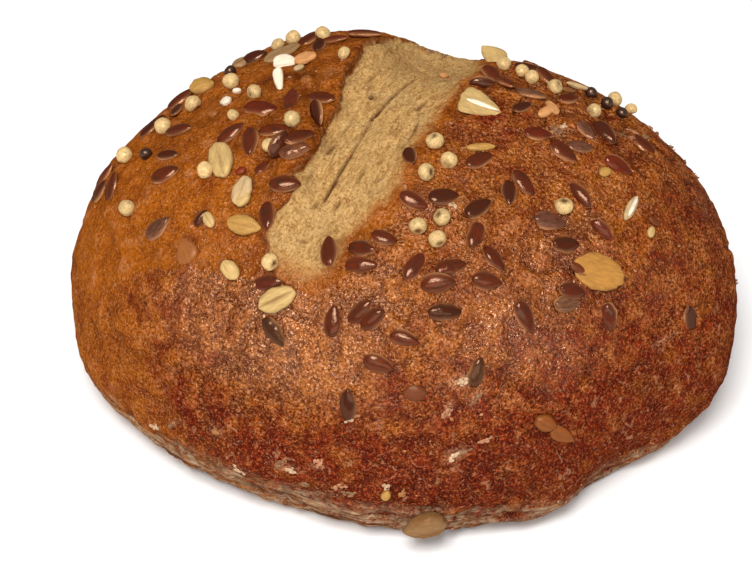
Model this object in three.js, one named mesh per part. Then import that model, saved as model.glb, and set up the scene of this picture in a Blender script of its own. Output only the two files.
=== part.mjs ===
// A multigrain bread roll: one oval loaf with a torn slash over its crown.
// Millimetres, +Z up. The roll stands on z = 0, with its length along X.

import * as THREE from 'three';
import { mergeVertices } from 'three/addons/utils/BufferGeometryUtils.js';

// The loaf
const HALF_LENGTH = 46.6; // of the widest outline, along X
const HALF_WIDTH = 35.6; // of the widest outline, along Y
const HEIGHT = 46.0; // from the base to the crown
const BELLY_HEIGHT = 12.7; // where the outline is widest
const BELLY_SLOPE = new THREE.Vector2(1.3, 1.4); // how much higher the belly is towards +X and +Y
const BASE_SHARE = 0.85; // the flat base's outline, as a share of the widest one
const BASE_SHIFT = 0.04; // added to that share at +X and taken off it at -X
const SHOULDER_FULLNESS = 0.79; // below 1 the shoulder is fuller than an ellipse's
const CROWN_LEAN = new THREE.Vector2(-1.6, 5.4); // the crown's offset from the base's centre

// Slow waves round the outline, as shares of its size: they make the oval uneven
const OUTLINE_WAVES = [
  { lobes: 2, cosine: 0.009, sine: -0.028 },
  { lobes: 3, cosine: 0.018, sine: 0.006 },
  { lobes: 4, cosine: 0.021, sine: 0.02 },
  { lobes: 5, cosine: -0.008, sine: 0 },
  { lobes: 6, cosine: 0, sine: -0.012 },
];

// The tear: a strip where the crust has burst open, seen from above
const TEAR_FRONT = new THREE.Vector2(-12.8, -20.7); // its end low on the near side
const TEAR_BEARING = THREE.MathUtils.degToRad(66.6); // from +X
const TEAR_LENGTH = 55.0;
const TEAR_HALF_WIDTH = 7.0; // at the front, before the ends are rounded
const TEAR_SPREAD = 1.8; // how much wider it would be at the back
const TEAR_BLUNTNESS = 0.35; // below 1 the ends are blunt
const TEAR_DEPTH = 1.9; // of its floor, under the left lip
const TEAR_RIGHT_SHARE = 0.75; // of that depth left at the right edge
const TEAR_END_FADE = 0.12; // share of the length over which an end gets shallow
const LIP_HEIGHT = 0.5; // of the crust that curls up along the left edge
const LIP_WIDTH = 5.0;
const LEFT_SOFTNESS = 3.4; // over which the floor meets the left lip
const RIGHT_SOFTNESS = 4.0; // over which it runs out into the right side

// Mesh fineness
const SEGMENTS = 96;
const BASE_RINGS = 3;
const SIDE_RINGS = 8;
const DOME_RINGS = 26;

const CRUST_COLOUR = 0x8f4e27;

function smoothStep(low, high, value) {
  return THREE.MathUtils.smoothstep(value, low, high);
}

// The outline's size at a bearing, as a share of the plain oval's
function outlineShare(bearing) {
  let share = 1;
  for (const wave of OUTLINE_WAVES) {
    share += wave.cosine * Math.cos(wave.lobes * bearing) + wave.sine * Math.sin(wave.lobes * bearing);
  }
  return share;
}

// Half of an even roll's section, from the base's centre to the crown. Each point's x is its
// share of the outline and its y is its height.
function sectionPoints() {
  const points = [];
  for (let ring = 0; ring < BASE_RINGS; ring += 1) {
    points.push(new THREE.Vector2((BASE_SHARE * ring) / BASE_RINGS, 0));
  }
  for (let ring = 0; ring < SIDE_RINGS; ring += 1) {
    const turn = (Math.PI / 2) * (ring / SIDE_RINGS);
    const share = THREE.MathUtils.lerp(BASE_SHARE, 1, Math.sin(turn));
    points.push(new THREE.Vector2(share, BELLY_HEIGHT * (1 - Math.cos(turn))));
  }
  for (let ring = 0; ring < DOME_RINGS; ring += 1) {
    const turn = (Math.PI / 2) * (ring / DOME_RINGS);
    const height = THREE.MathUtils.lerp(BELLY_HEIGHT, HEIGHT, Math.sin(turn));
    points.push(new THREE.Vector2(Math.cos(turn) ** SHOULDER_FULLNESS, height));
  }
  points.push(new THREE.Vector2(0, HEIGHT));
  return points;
}

// How far the tear lowers (below 0) or lifts (above 0) the dome over a point of the plan
function tearRelief(x, y) {
  const fromFront = new THREE.Vector2(x, y).sub(TEAR_FRONT).rotateAround(new THREE.Vector2(), -TEAR_BEARING);
  const along = fromFront.x / TEAR_LENGTH;
  if (along <= 0 || along >= 1) {
    return 0;
  }
  const leftwards = fromFront.y;
  const halfWidth = (TEAR_HALF_WIDTH + TEAR_SPREAD * along) * Math.sin(Math.PI * along) ** TEAR_BLUNTNESS;
  const insideRight = smoothStep(-halfWidth, RIGHT_SOFTNESS - halfWidth, leftwards);
  const insideLeft = 1 - smoothStep(halfWidth - LEFT_SOFTNESS, halfWidth, leftwards);
  const towardsLeft = THREE.MathUtils.clamp((leftwards / halfWidth + 1) / 2, 0, 1);
  const depth = TEAR_DEPTH * THREE.MathUtils.lerp(TEAR_RIGHT_SHARE, 1, towardsLeft);
  const fade = smoothStep(0, TEAR_END_FADE, along) * (1 - smoothStep(1 - TEAR_END_FADE, 1, along));
  const fromLip = (leftwards - halfWidth) / (LIP_WIDTH / 2) - 1;
  return fade * (LIP_HEIGHT * Math.exp(-(fromLip ** 2)) - depth * insideRight * insideLeft);
}

// Moves a point of the even roll's surface onto the uneven one
function shapePoint(point) {
  const evenShare = Math.hypot(point.x, point.y);
  const bearing = Math.atan2(point.y, point.x);
  const base = BASE_SHARE + BASE_SHIFT * Math.cos(bearing);
  const belly = BELLY_HEIGHT + BELLY_SLOPE.x * Math.cos(bearing) + BELLY_SLOPE.y * Math.sin(bearing);
  const rise = Math.max(0, (point.z - BELLY_HEIGHT) / (HEIGHT - BELLY_HEIGHT));
  let share = evenShare;
  let height = THREE.MathUtils.lerp(belly, HEIGHT, rise);
  if (point.z < BELLY_HEIGHT) {
    share = evenShare <= BASE_SHARE
      ? (evenShare * base) / BASE_SHARE
      : THREE.MathUtils.mapLinear(evenShare, BASE_SHARE, 1, base, 1);
    height = (point.z * belly) / BELLY_HEIGHT;
  }
  const reach = share * outlineShare(bearing);
  point.x = HALF_LENGTH * reach * Math.cos(bearing) + CROWN_LEAN.x * rise;
  point.y = HALF_WIDTH * reach * Math.sin(bearing) + CROWN_LEAN.y * rise;
  point.z = rise > 0 ? height + tearRelief(point.x, point.y) : height;
}

function rollGeometry() {
  const turned = new THREE.LatheGeometry(sectionPoints(), SEGMENTS);
  turned.rotateX(Math.PI / 2);
  turned.deleteAttribute('normal');
  turned.deleteAttribute('uv');
  const geometry = mergeVertices(turned);
  const positions = geometry.getAttribute('position');
  const point = new THREE.Vector3();
  for (let index = 0; index < positions.count; index += 1) {
    point.fromBufferAttribute(positions, index);
    shapePoint(point);
    positions.setXYZ(index, point.x, point.y, point.z);
  }
  geometry.computeBoundingBox();
  const centre = geometry.boundingBox.getCenter(new THREE.Vector3());
  geometry.translate(-centre.x, -centre.y, 0);
  geometry.computeVertexNormals();
  return geometry;
}

const crust = new THREE.MeshStandardMaterial({ color: CRUST_COLOUR, roughness: 0.55, metalness: 0 });
const roll = new THREE.Mesh(rollGeometry(), crust);
roll.name = 'roll';

const loaf = new THREE.Group();
loaf.add(roll);

export default loaf;
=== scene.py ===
"""The looks of a multigrain roll: a fine crust mesh over the solid roll, and the seeds and flour on it.

Everything is in metres in the roll's own frame: +Z up, the flat base on z = 0, and the photograph's
camera in front, looking along +Y and down. What lies on the crust is placed by the pixel of the
photograph where it shows: a line of sight through that pixel finds the point of the crust under it.
"""

import math
from collections import namedtuple

import bmesh
import bpy
import numpy as np
from mathutils import Matrix, Vector
from mathutils.bvhtree import BVHTree


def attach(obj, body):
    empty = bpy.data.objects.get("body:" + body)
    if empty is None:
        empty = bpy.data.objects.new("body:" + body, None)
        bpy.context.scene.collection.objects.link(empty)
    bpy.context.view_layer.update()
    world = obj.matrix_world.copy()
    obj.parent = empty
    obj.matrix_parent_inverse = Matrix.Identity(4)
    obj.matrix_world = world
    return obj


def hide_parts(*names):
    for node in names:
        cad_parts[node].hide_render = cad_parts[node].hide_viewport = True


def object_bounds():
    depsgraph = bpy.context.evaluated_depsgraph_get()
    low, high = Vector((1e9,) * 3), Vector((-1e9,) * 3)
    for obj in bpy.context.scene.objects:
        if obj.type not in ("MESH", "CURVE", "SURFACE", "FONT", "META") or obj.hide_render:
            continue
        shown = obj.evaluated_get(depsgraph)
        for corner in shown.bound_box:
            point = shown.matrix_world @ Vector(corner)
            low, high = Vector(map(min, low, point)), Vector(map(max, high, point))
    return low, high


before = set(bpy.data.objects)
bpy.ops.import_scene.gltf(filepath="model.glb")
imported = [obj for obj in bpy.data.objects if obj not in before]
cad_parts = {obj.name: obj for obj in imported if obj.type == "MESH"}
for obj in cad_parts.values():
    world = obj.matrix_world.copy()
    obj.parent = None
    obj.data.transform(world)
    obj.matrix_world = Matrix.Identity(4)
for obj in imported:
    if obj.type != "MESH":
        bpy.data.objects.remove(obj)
cad_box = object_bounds()

MM = 0.001
UP = Vector((0, 0, 1))


def add_object(name, data):
    thing = bpy.data.objects.new(name, data)
    bpy.context.scene.collection.objects.link(thing)
    return thing


# ---- the photograph's view

PHOTO_WIDTH, PHOTO_HEIGHT = 752, 565
SENSOR_WIDTH = 36.0
CAMERA_ELEVATION = math.radians(45)
CAMERA_DISTANCE = 420 * MM
PIXEL_SIZE = 0.1481 * MM  # at the camera's target
TARGET_RIGHT, TARGET_UP = -4.0 * MM, 11.4 * MM  # from the frame's origin, along the picture's own axes

VIEW_RIGHT = Vector((1, 0, 0))
VIEW_UP = Vector((0, math.sin(CAMERA_ELEVATION), math.cos(CAMERA_ELEVATION)))
TO_CAMERA = Vector((0, -math.cos(CAMERA_ELEVATION), math.sin(CAMERA_ELEVATION)))
CAMERA_TARGET = TARGET_RIGHT * VIEW_RIGHT + TARGET_UP * VIEW_UP
CAMERA_PLACE = CAMERA_TARGET + CAMERA_DISTANCE * TO_CAMERA


def make_camera():
    data = bpy.data.cameras.new("camera")
    data.sensor_width = SENSOR_WIDTH
    data.lens = SENSOR_WIDTH * CAMERA_DISTANCE / (PHOTO_WIDTH * PIXEL_SIZE)
    data.clip_start = 10 * MM
    camera = add_object("camera", data)
    turn = Matrix((VIEW_RIGHT, VIEW_UP, TO_CAMERA)).transposed()
    camera.matrix_world = Matrix.Translation(CAMERA_PLACE) @ turn.to_4x4()
    bpy.context.scene.camera = camera


def sight_line(px, py):
    """The direction in which the camera sees a pixel of the photograph."""
    right = (px - PHOTO_WIDTH / 2) * PIXEL_SIZE
    up = (PHOTO_HEIGHT / 2 - py) * PIXEL_SIZE
    return (right * VIEW_RIGHT + up * VIEW_UP - CAMERA_DISTANCE * TO_CAMERA).normalized()


def flattened(direction, outward):
    """The direction without what points outward, one unit long."""
    return (direction - direction.dot(outward) * outward).normalized()


def along_crust(normal, degrees):
    """The direction along the crust that shows in the picture at an angle from its right, anticlockwise."""
    turn = math.radians(degrees)
    shown = math.cos(turn) * VIEW_RIGHT + math.sin(turn) * VIEW_UP
    facing = max(normal.dot(TO_CAMERA), 0.35)
    return flattened(shown - (shown.dot(normal) / facing) * TO_CAMERA, normal)


# ---- noise and soft steps

NOISE_GAIN = 1.6  # stretches gradient noise to about -1 to 1


def smooth_noise(points, wavelength, seed):
    """Gradient noise at points (n, 3). wavelength may differ along the three axes."""
    rng = np.random.default_rng(seed)
    order = rng.permutation(256)
    gradients = rng.normal(size=(256, 3))
    gradients /= np.linalg.norm(gradients, axis=1)[:, None]
    scaled = points / wavelength + rng.uniform(0, 256, 3)
    cell = np.floor(scaled).astype(int)
    part = scaled - cell
    fade = part ** 3 * (part * (part * 6 - 15) + 10)
    total = np.zeros(len(points))
    for corner in np.ndindex(2, 2, 2):
        step = np.array(corner)
        index = (cell + step) & 255
        pick = order[(order[(order[index[:, 0]] + index[:, 1]) & 255] + index[:, 2]) & 255]
        weight = np.prod(np.where(step, fade, 1 - fade), axis=1)
        total += weight * np.einsum("ij,ij->i", gradients[pick], part - step)
    return total * NOISE_GAIN


def smooth_step(low, high, value):
    share = np.clip((value - low) / (high - low), 0, 1)
    return share * share * (3 - 2 * share)


def spot(right, back, width, depth):
    """A soft round spot: 1 in its middle, and fading over its width and depth."""
    return np.exp(-(right / width) ** 2 - (back / depth) ** 2)


# ---- the crust's mesh

VOXEL = 0.50 * MM
SMOOTHING_ROUNDS = 10
BASE_FLAT = 0.40 * MM  # what lies lower than this is the flat base
REFINED_MARGIN = 1.6  # how far round the tear its small faces reach, in mm


def remeshed(node):
    """The node's surface again, as an even net of small faces."""
    source = add_object("source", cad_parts[node].data.copy())
    remesh = source.modifiers.new("even", "REMESH")
    remesh.mode = "VOXEL"
    remesh.voxel_size = VOXEL
    mesh = bpy.data.meshes.new_from_object(source.evaluated_get(bpy.context.evaluated_depsgraph_get()))
    bpy.data.objects.remove(source)
    return mesh


def close_base(mesh):
    """Makes the flat underside one face, which leaves more faces for the crust."""
    net = bmesh.new()
    net.from_mesh(mesh)
    flat = [face for face in net.faces if all(vert.co.z < BASE_FLAT for vert in face.verts)]
    bmesh.ops.delete(net, geom=flat, context="FACES")
    rim = [edge for edge in net.edges if edge.is_boundary]
    bmesh.ops.holes_fill(net, edges=rim, sides=0)
    net.to_mesh(mesh)
    net.free()


def refine_tear(mesh):
    """Halves the faces of the tear and its lips."""
    from_left, from_right = tear_depths(read_points(mesh))
    near = np.minimum(from_left, from_right) > -REFINED_MARGIN
    net = bmesh.new()
    net.from_mesh(mesh)
    edges = [edge for edge in net.edges if near[edge.verts[0].index] and near[edge.verts[1].index]]
    bmesh.ops.subdivide_edges(net, edges=edges, cuts=1, use_grid_fill=True, smooth=0.0)
    net.to_mesh(mesh)
    net.free()


def read_vectors(items, name):
    values = np.empty(len(items) * 3, np.float32)
    items.foreach_get(name, values)
    return values.reshape(-1, 3).astype(float)


def read_points(mesh):
    return read_vectors(mesh.vertices, "co")


def write_points(mesh, points):
    mesh.vertices.foreach_set("co", points.astype(np.float32).ravel())
    mesh.update()


def set_attribute(mesh, name, values, kind="FLOAT", part="value"):
    attribute = mesh.attributes.new(name, kind, "POINT")
    attribute.data.foreach_set(part, values.astype(np.float32).ravel())


def smoothed(mesh):
    """The mesh's points, each moved half way to the middle of its neighbours, several times."""
    points = read_points(mesh)
    edges = np.empty(len(mesh.edges) * 2, np.int32)
    mesh.edges.foreach_get("vertices", edges)
    edges = edges.reshape(-1, 2)
    start, end = np.concatenate([edges, edges[:, ::-1]]).T
    count = np.bincount(start, minlength=len(points))[:, None]
    for _ in range(SMOOTHING_ROUNDS):
        sums = [np.bincount(start, points[end, axis], len(points)) for axis in range(3)]
        points = 0.5 * points + 0.5 * np.stack(sums, 1) / count
    return points


def with_flat_base(points):
    """The points, with those near the floor set down on it."""
    points[:, 2] = np.where(points[:, 2] < BASE_FLAT, 0, points[:, 2])
    return points


# ---- the tear and the floury band

# The tear, seen from above: its middle line starts at its near end and runs back over the crown.
# Its edges are given by how far along that line they are and how far off it, in millimetres.
TEAR_START = np.array([-13.2, -19.5])
TEAR_BEARING = math.radians(66.6)
TEAR_LEFT_EDGE = [
    (-2.4, 1), (-1.2, 4.4), (0.6, 6.4), (3.3, 7.3), (5.2, 6.8), (7.2, 5.9), (11, 6.6), (14, 5.7), (21, 6.0),
    (25, 6.3), (30, 7.7), (38, 8.3), (45, 7.6), (50, 5.6), (53, 2.6), (54, 0)]
TEAR_RIGHT_EDGE = [
    (-2.4, 0), (-1.2, -1.4), (0.6, -2.8), (2.6, -3.8), (6, -4.3), (9.8, -6.0), (13.5, -7.7), (20, -7.2),
    (28, -7.6), (39, -8.3), (46, -7.4), (50, -5.4), (53, -2.6), (54, 0)]
TEAR_NEAR_END, TEAR_FAR_END = -2.4, 54.0
TEAR_LOWEST = 20 * MM  # no part of the crust lower than this is torn
OUTSIDE = -99.0


def tear_place(points):
    """How far along the tear's middle line each point is, and how far to the left of it, in mm."""
    offset = points[:, :2] / MM - TEAR_START
    cosine, sine = math.cos(TEAR_BEARING), math.sin(TEAR_BEARING)
    return offset[:, 0] * cosine + offset[:, 1] * sine, offset[:, 1] * cosine - offset[:, 0] * sine


def tear_depths(points):
    """How far inside the tear's left and right edges each point is, in mm, below 0 outside it."""
    along, left = tear_place(points)
    ragged = 0.45 * smooth_noise(points, 2.2 * MM, 11) + 0.3 * smooth_noise(points, 0.9 * MM, 12)
    from_left = np.interp(along, *np.transpose(TEAR_LEFT_EDGE)) - left + ragged
    from_right = left - np.interp(along, *np.transpose(TEAR_RIGHT_EDGE)) + 1.4 * ragged
    on_top = (points[:, 2] > TEAR_LOWEST) & (along > TEAR_NEAR_END) & (along < TEAR_FAR_END)
    return np.where(on_top, from_left, OUTSIDE), np.where(on_top, from_right, OUTSIDE)


def rim_streaks(points, thickness, seed):
    """Noise in streaks that run round the roll, level with its base. thickness is theirs in mm."""
    x, y, z = points.T / MM
    round_rim = np.arctan2(y, x) * 40
    tilted = z + 0.8 * np.sin(round_rim / 9)
    streak = np.array([8 * thickness, thickness, 1])
    return smooth_noise(np.stack([round_rim, tilted, np.zeros_like(z)], 1), streak, seed)


def above_flour(points):
    """How far above the floury, layered band each point is, in mm. The band is highest at the near left."""
    x, y, z = points.T / MM
    near_left = 0.5 + 0.5 * np.cos(np.arctan2(y, x) + 2.0)
    return z - (2.2 + 6.8 * near_left ** 2 + 1.4 * smooth_noise(points, 6 * MM, 33))


# ---- the crust's relief

def crust_relief(points):
    """The height of the wrinkles and blisters, and of everything on the smooth roll, in metres."""
    x, y, _ = points.T / MM
    lumps = 0.30 * smooth_noise(points, 15 * MM, 1) + 0.24 * smooth_noise(points, 7.5 * MM, 2)
    wrinkled = smooth_step(-0.2, 0.5, smooth_noise(points, 18 * MM, 3))
    wrinkled = np.maximum(wrinkled, spot(x + 22, y + 20, 10, 8))
    folds = 1 - smooth_step(0, 0.30, np.abs(smooth_noise(points, 4.6 * MM, 4)))
    creases = 1 - smooth_step(0, 0.35, np.abs(smooth_noise(points, 2.0 * MM, 8)))
    wrinkles = -0.42 * folds * (0.15 + wrinkled)
    wrinkles -= 0.24 * creases * (0.15 + spot(x + 22, y + 20, 12, 9))
    blisters = 0.22 * smooth_noise(points, 2.4 * MM, 5) + 0.10 * smooth_noise(points, 1.2 * MM, 6)
    layers = 0.45 * rim_streaks(points, 1.2, 7) * smooth_step(1.5, -1, above_flour(points))
    return (wrinkles + blisters) * MM, (lumps + wrinkles + blisters + layers) * MM


def tear_relief(points, from_left, from_right):
    """Height of the tear's lips, fibres and pits over the groove."""
    along, left = tear_place(points)
    strip = np.stack([along, left, np.zeros_like(along)], 1)
    within = smooth_step(0, 0.9, np.minimum(from_left, from_right)) * smooth_step(-1, 4, along)
    fibres = 0.15 * smooth_noise(strip, np.array([9, 1.3, 1]), 21)
    fibres += 0.10 * smooth_noise(strip, np.array([2.8, 0.8, 1]), 22)
    lumps = 0.12 * smooth_noise(strip, np.array([6, 3.2, 1]), 23)
    pits = -0.30 * smooth_step(0.42, 0.62, smooth_noise(strip, np.array([2.6, 0.9, 1]), 24))
    inside = smooth_step(-0.15, 0.35, from_left)
    step_down = -0.85 * np.exp(-np.maximum(from_left, 0) / 1.6) * inside
    lip_up = 0.42 * np.exp(np.minimum(from_left, 0) / 1.3) * (1 - inside)
    fade = smooth_step(6, 14, along) * (1 - smooth_step(44, 52, along)) * (from_left > -8)
    return (within * (fibres + lumps + pits) + fade * (step_down + lip_up)) * MM


# One mark on the crust: its pixel, its length and width in mm, its turn in the picture, its height in mm, and
# how much it darkens the crust, partly scorching and partly painted shade in its hollow, or below 0 how much
# paler it makes it
Mark = namedtuple("Mark", "x y length width turn height dark", defaults=(0, 0, 0))
MARKS = [Mark(*row) for row in (
    # slow swellings and hollows that the outline shows
    (560, 500, 14, 10, 20, 1.4), (604, 476, 12, 10, 35, -1.7), (702, 386, 17, 12, 60, 2),
    (95, 385, 16, 12, -50, 0.9), (222, 88, 16, 8, 30, -0.8), (300, 45, 20, 8, 15, -0.7),
    (545, 85, 22, 8, -25, -0.8), (610, 110, 14, 8, -35, -0.8), (165, 122, 12, 8, 45, -0.8),
    (442, 55, 16, 16, -15, -2.6), (380, 43, 9, 4, 5, 0.4),
    # ridges and grooves of the near slope
    (226, 322, 8, 1.6, 70, -0.5, 0.15), (243, 305, 9, 2.4, 60, 0.5), (208, 300, 8, 2.2, 75, 0.5),
    (152, 300, 3.2, 2.6, 0, 0.5, -0.2), (147, 303, 0.8, 0.8, 0, -0.5, 0.8),
    (157, 304, 0.7, 0.7, 0, -0.5, 0.8), (255, 489, 5, 1.2, -25, -0.8, 0.9),
    (129, 414, 1.6, 1.2, 0, -0.5, 0.9), (619, 435, 1.6, 1.2, 0, -0.5, 0.9),
    (635, 285, 1.4, 1.2, 0, -0.4, 0.7), (595, 350, 1.5, 1.2, 0, -0.4, 0.7),
    (592, 370, 1.3, 1.2, 0, -0.4, 0.7), (665, 340, 5, 1, 30, 0.2, -0.6), (448, 411, 2.4, 1, 60, 0.3, -0.9),
    (478, 396, 2.8, 1.1, 55, 0.3, -0.8), (461, 382, 3.6, 1.6, 10, 0.3, -1),
    (455, 456, 3.6, 1.6, 30, 0.2, -0.9), (155, 428, 2.4, 1.2, 10, 0.3, -0.9),
    (172, 425, 2, 1, 40, 0.3, -0.9), (215, 432, 2.2, 1.4, 0, 0.3, -0.8),
    (238, 470, 2.6, 1.3, -20, 0.3, -0.9), (285, 466, 3.6, 1.2, -15, 0.2, -0.8),
    (318, 465, 2, 1.2, 0, 0.2, -0.8), (201, 219, 2.6, 2.4, 0, 0.35, -0.2),
    (200, 222, 1.6, 0.8, 60, -0.5, 0.9), (197, 212, 2.2, 0.6, 20, -0.3, 0.7),
    (558, 131, 3.4, 2.2, 10, 0.2, -0.9), (553, 142, 2, 0.6, 80, -0.3, 0.7),
    (630, 133, 4.4, 1.6, -20, 0.2, -0.8), (551, 431, 6.6, 4.4, -25, -0.4, 0.7),
    (160, 251, 8, 5, 20, -0.2, 0.25),
    # hollows between the seeds left of the tear, dark with painted shade
    (287, 73, 9, 3, 8, -0.3, 0.75), (309, 96, 7, 4, -75, -0.3, 0.6), (283, 104, 6, 3.5, 65, -0.3, 0.55),
    (320, 126, 7, 3, -70, -0.3, 0.6), (268, 121, 8, 2.4, -15, -0.3, 0.5), (307, 140, 4, 3, 40, -0.2, 0.5),
    (243, 108, 3.5, 2, 10, -0.2, 0.4), (262, 155, 6, 3, -60, -0.3, 0.45), (205, 118, 7, 3, 30, -0.2, 0.4),
    (229, 146, 6, 2.4, -10, -0.3, 0.45), (190, 140, 8, 3, 40, -0.2, 0.35), (330, 76, 5, 3, 20, -0.2, 0.45),
    (326, 82, 3.4, 2.6, 0, 0.5, -0.15), (306, 77, 2.6, 3, 80, 0.4, 0.35), (247, 118, 4, 3, 0, 0.3, -0.1),
    (214, 96, 4, 3, 30, 0.3, -0.1), (200, 130, 5, 3, 30, 0.3, -0.1), (233, 152, 4, 3, -20, 0.2, -0.1),
    # the tear's cracks and pits, dark with painted shade
    (408, 81, 5, 0.45, 42, -0.4, 0.7), (391, 97, 4.6, 0.5, 46, -0.5, 0.9),
    (376, 113, 3.6, 0.6, 48, -0.5, 1), (365, 130, 3.6, 0.4, 60, -0.4, 0.7),
    (353, 151, 4.4, 0.4, 60, -0.4, 0.6), (342, 168, 4.6, 0.5, 58, -0.5, 0.9),
    (332, 187, 3.6, 0.5, 62, -0.5, 1), (326, 197, 2.6, 0.4, 62, -0.3, 0.6),
    (414, 129, 4, 0.5, 60, -0.4, 0.8), (421, 105, 2.6, 0.6, 45, -0.4, 0.8),
    (361, 176, 3.4, 0.4, 60, -0.4, 0.7), (333, 147, 2.6, 0.5, 50, -0.3, 0.7),
    (311, 178, 2.6, 0.4, 62, -0.3, 0.5), (347, 128, 3, 0.4, 52, -0.3, 0.5),
    (374, 76, 3, 0.45, 50, -0.3, 0.6), (396, 128, 3, 0.4, 55, -0.3, 0.5), (428, 59, 2, 1.6, -30, -0.8, 1),
    (372, 96, 1.2, 0.8, 50, -0.5, 1), (301, 241, 1.4, 0.4, -10, -0.1, 0.6),
    (337, 205, 1.6, 0.6, 55, -0.3, 0.7), (316, 206, 1.4, 0.6, 55, -0.3, 0.6),
)]


def oval_reach(points, ground, px, py, length, width, turn, depth):
    """How far each point is from the middle of an oval on the crust, where 1 is the oval's edge."""
    place, normal = ground.under_pixel(px, py)
    direction = along_crust(normal, turn)
    offset = points - np.array(place)
    across = offset @ np.array(normal.cross(direction)) / (0.5 * width)
    along = offset @ np.array(direction) / (0.5 * length)
    return np.sqrt(along ** 2 + across ** 2 + (offset @ np.array(normal) / depth) ** 2)


def apply_marks(points, ground):
    """The marks' heights in metres and their darkness, partly painted shade, at each point of the crust."""
    height, dark = np.zeros(len(points)), np.zeros(len(points))
    for mark in MARKS:
        length, width, depth = mark.length * MM, mark.width * MM, 0.5 * max(mark.length, 4) * MM
        reach = oval_reach(points, ground, mark.x, mark.y, length, width, mark.turn, depth)
        weight = np.exp(-reach ** 2.6)
        height += weight * mark.height * MM
        dark += weight * mark.dark
    return height, dark


SEAT_RISE = 0.30 * MM  # of the crust that has baked up round a half sunk seed
SEAT_SHADE_AND_STAIN = 0.35  # how much darker the crust is where a seed lies on it: painted shade, partly a baked stain
SEAT_DEPTH = 3 * MM


def apply_seats(points, ground):
    """How the crust rises round the sunk flax seeds, and the painted shade, partly a baked stain, round all
    that lies on it.
    """
    height, dark = np.zeros(len(points)), np.zeros(len(points))
    for seed in FLAX_SEEDS:
        length, width = FLAX_LENGTH * seed.size, FLAX_WIDTH * seed.size
        reach = oval_reach(points, ground, seed.x, seed.y, length, width, seed.turn, SEAT_DEPTH)
        rise = smooth_step(0.3, 0.5, seed.sunk) * SEAT_RISE
        height += rise * (np.exp(-((reach - 1.25) / 0.4) ** 2) + 0.6 * np.exp(-reach ** 4))
        dark += SEAT_SHADE_AND_STAIN * np.exp(-(reach / 1.5) ** 3)
    for grain in MILLET_GRAINS:
        size = MILLET_SIZE * grain.size
        # painted shadow, a little below each grain in the picture
        reach = oval_reach(points, ground, grain.x, grain.y + 3, size, size, 0, SEAT_DEPTH)
        dark += SEAT_SHADE_AND_STAIN * np.exp(-(reach / 1.3) ** 3)
    for flake in FLAKES:
        length, width = flake.length * MM, flake.width * MM
        reach = oval_reach(points, ground, flake.x, flake.y, length, width, flake.turn, SEAT_DEPTH)
        dark += SEAT_SHADE_AND_STAIN * np.exp(-(reach / 1.15) ** 6)
    return height, dark


def even_crust():
    """The roll's surface as an even net of small faces, smallest in the tear."""
    mesh = remeshed("roll")
    write_points(mesh, with_flat_base(smoothed(mesh)))
    close_base(mesh)
    refine_tear(mesh)
    return mesh


def build_crust():
    """The crust's mesh, and how dark its marks and the painted shade round what lies on it are at each of its
    points.
    """
    mesh = even_crust()
    points, normals = read_points(mesh), read_vectors(mesh.vertex_normals, "vector")
    plain = Ground(mesh)
    marked, dark = apply_marks(points, plain)
    seated, shaded_and_stained = apply_seats(points, plain)
    from_left, from_right = tear_depths(points)
    torn = smooth_step(-0.1, 0.4, np.minimum(from_left, from_right))
    raised, relief = crust_relief(points)
    height = marked + seated + relief * (1 - 0.7 * torn) + tear_relief(points, from_left, from_right)
    height *= smooth_step(0, 2.5 * MM, points[:, 2])
    write_points(mesh, with_flat_base(points + normals * height[:, None]))
    mesh.shade_smooth()
    set_attribute(mesh, "raised", raised / (0.25 * MM))
    return add_object("crust", mesh), np.where(dark < 0, dark, np.maximum(dark, shaded_and_stained))


# ---- the crust's tints and painted light and shade, stored on its mesh

# A soft spot that is browner than the crust round it, or paler where the amount is below 0: its middle and
# its reach in mm. other is y where the spot is given as seen from above, and z where as seen from the front.
# Some are painted light and shade: the pale one by the tear's near end is painted sheen.
BrowningAndShade = namedtuple("BrowningAndShade", "x other width depth amount")
SEEN_FROM_ABOVE = [
    BrowningAndShade(-13, -24, 14, 8, -0.65), BrowningAndShade(11, 3.5, 7, 4, 0.70), BrowningAndShade(30.5, 4, 6, 5, 0.55)]
SEEN_FROM_THE_FRONT = [
    BrowningAndShade(-20, 15, 10, 6, 0.60), BrowningAndShade(-38, 28, 8, 10, 0.20), BrowningAndShade(-38, 10, 8, 8, -0.25)]


def spots_of(browning, across, other):
    return sum(one.amount * spot(across - one.x, other - one.other, one.width, one.depth) for one in browning)


def browned_and_shaded_crust(points, beside):
    """How browned the crust is, from 0 for tan to 1 for red, with painted shade low on the near side and
    painted light on top.
    """
    x, y, z = points.T / MM
    browned_and_shaded = 0.22 + 0.42 * smooth_step(-42, 14, x)  # browner to the right
    browned_and_shaded += 0.45 * smooth_step(-10, -32, y) * smooth_step(32, 16, z)  # and low on the near side, partly painted shade
    browned_and_shaded += 0.20 * smooth_noise(points, 13 * MM, 31) + 0.12 * smooth_noise(points, 5 * MM, 32)
    browned_and_shaded -= 0.05 * smooth_step(-34, -46, x) + 0.15 * smooth_step(9, 2, z)
    browned_and_shaded -= 0.40 * smooth_step(31, 38, z)  # paler on top: painted light
    browned_and_shaded -= 0.2 * smooth_step(0, 20, y) * smooth_step(10, 20, z)  # and behind
    browned_and_shaded += spots_of(SEEN_FROM_ABOVE, x, y) + spots_of(SEEN_FROM_THE_FRONT, x, z) * (y < 0)
    browned_and_shaded -= 0.55 * beside
    # by the tear's near end it may turn paler than tan: painted sheen
    return np.clip(browned_and_shaded, -0.6 * spot(x + 8, y + 22, 8, 5), 1)


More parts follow.
